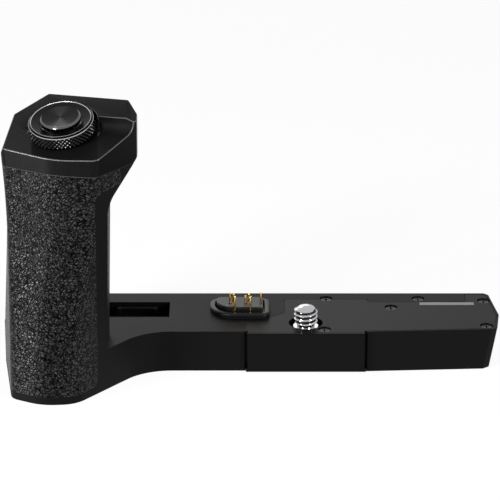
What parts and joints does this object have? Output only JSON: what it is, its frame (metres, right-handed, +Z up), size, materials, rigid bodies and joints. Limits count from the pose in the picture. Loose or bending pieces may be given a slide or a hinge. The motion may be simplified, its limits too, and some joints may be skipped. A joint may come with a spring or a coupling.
{
  "type": "camera hand grip",
  "caption": "L-shaped hand grip for a compact camera: leather-wrapped column with tilted dial and shutter button on a base plate with camera screw and contact connector.",
  "frame": {"origin": "where the camera screw's axis crosses the plate's top face", "axes": "+X along the plate away from the hand column, +Y from the lens side to the camera's back, +Z up along the camera screw"},
  "size_m": [0.1323, 0.0497, 0.077],
  "materials": {
    "frame_plastic": "fine matte moulded black plastic",
    "leather": "grained black leather-like wrap",
    "cap_plastic": "satin moulded black plastic",
    "plate_metal": "black painted light metal",
    "dial_metal": "bright knurled metal",
    "dial_gloss": "glossy black plastic",
    "button_metal": "dark spun metal",
    "steel": "plain steel",
    "black_steel": "blackened steel",
    "screw_steel": "bright plated steel",
    "brass": "turned brass",
    "gold": "gold plated contact",
    "connector_plastic": "smooth black moulding",
    "rubber": "soft black rubber",
    "board": "green circuit board",
    "film": "amber printed film",
    "label": "pale blank strip"
  },
  "bodies": {
    "root": {"grip_frame": "frame_plastic", "leather_cover": "leather", "column_back_cover": "frame_plastic", "back_screws": "black_steel", "top_cap": "cap_plastic", "cap_screws": "steel", "dial_bush": "brass", "click_spring": "steel", "encoder_board": "board", "button_guide": "connector_plastic", "shutter_switch": "connector_plastic", "flex_cable": "film", "chassis_bracket": "steel", "pocket_bar": "frame_plastic", "connector_collar": "connector_plastic", "connector_plug": "connector_plastic", "contact_pins": "gold", "connector_seal": "rubber", "connector_board": "board", "centre_block": "plate_metal", "end_tray": "frame_plastic", "plate_cover": "plate_metal", "top_screws": "black_steel", "screw_washer": "brass", "tripod_bush": "brass", "bottom_cover": "frame_plastic", "bottom_screws": "black_steel", "rubber_pads": "rubber", "blank_label": "label"},
    "dial": {"dial_ring": "dial_metal", "dial_hub": "steel", "dial_plate": "dial_gloss", "dial_clip": "steel", "click_wheel": "steel"},
    "button": {"shutter_button": "button_metal", "button_stem": "steel"},
    "screw": {"camera_screw": "screw_steel", "screw_clip": "steel", "screw_knob": "black_steel"}
  },
  "joints": [
    {"name": "dial_turn", "type": "hinge", "parent": "root", "child": "dial", "pos_m": [-0.0624, -0.0164, 0.05905], "axis": [-0.1005, -0.2742, 0.9564], "continuous": true},
    {"name": "shutter_press", "type": "slide", "parent": "root", "child": "button", "axis": [0.1005, 0.2742, -0.9564], "range_m": [0, 0.001], "stiffness_N_per_m": 800},
    {"name": "screw_turn", "type": "hinge", "parent": "root", "child": "screw", "pos_m": [0, 0, 0], "axis": [0, 0, 1], "continuous": true}
  ]
}
